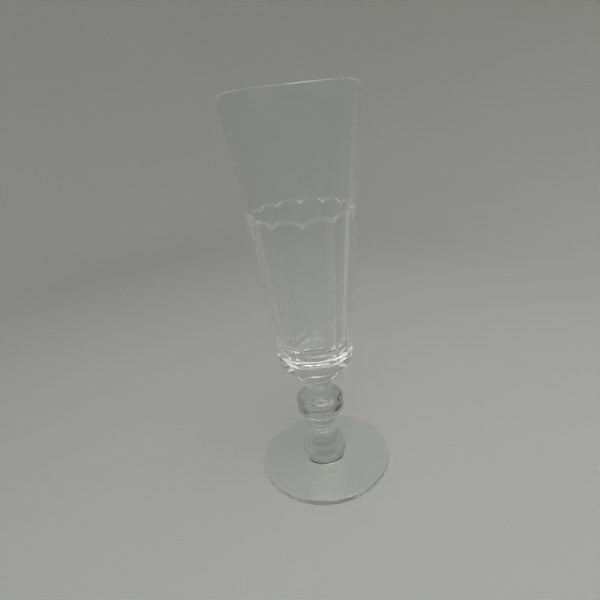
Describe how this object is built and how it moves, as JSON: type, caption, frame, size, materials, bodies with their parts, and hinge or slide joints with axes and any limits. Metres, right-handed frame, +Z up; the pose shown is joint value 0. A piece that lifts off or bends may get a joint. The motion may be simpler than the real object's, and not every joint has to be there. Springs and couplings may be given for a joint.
{
  "type": "champagne flute",
  "caption": "Tall stemmed drinking glass in clear pressed glass: flat cut panels with arched tops on the lower bowl, ledge ring, annular knop, bell-shaped baluster and disc foot.",
  "frame": {"origin": "centre of the foot's flat underside, on the table", "axes": "+Z up along the glass's axis towards the rim; a ridge between two panels faces -Y"},
  "size_m": [0.0664, 0.0664, 0.18],
  "materials": {
    "foot_glass": "clear, polished",
    "stem_glass": "clear, polished",
    "bowl_glass": "clear, fire-polished"
  },
  "bodies": {
    "root": {"foot": "foot_glass", "baluster": "stem_glass", "lower_neck": "stem_glass", "knop": "stem_glass", "upper_neck": "stem_glass", "merese": "stem_glass", "bowl": "bowl_glass"}
  },
  "joints": []
}
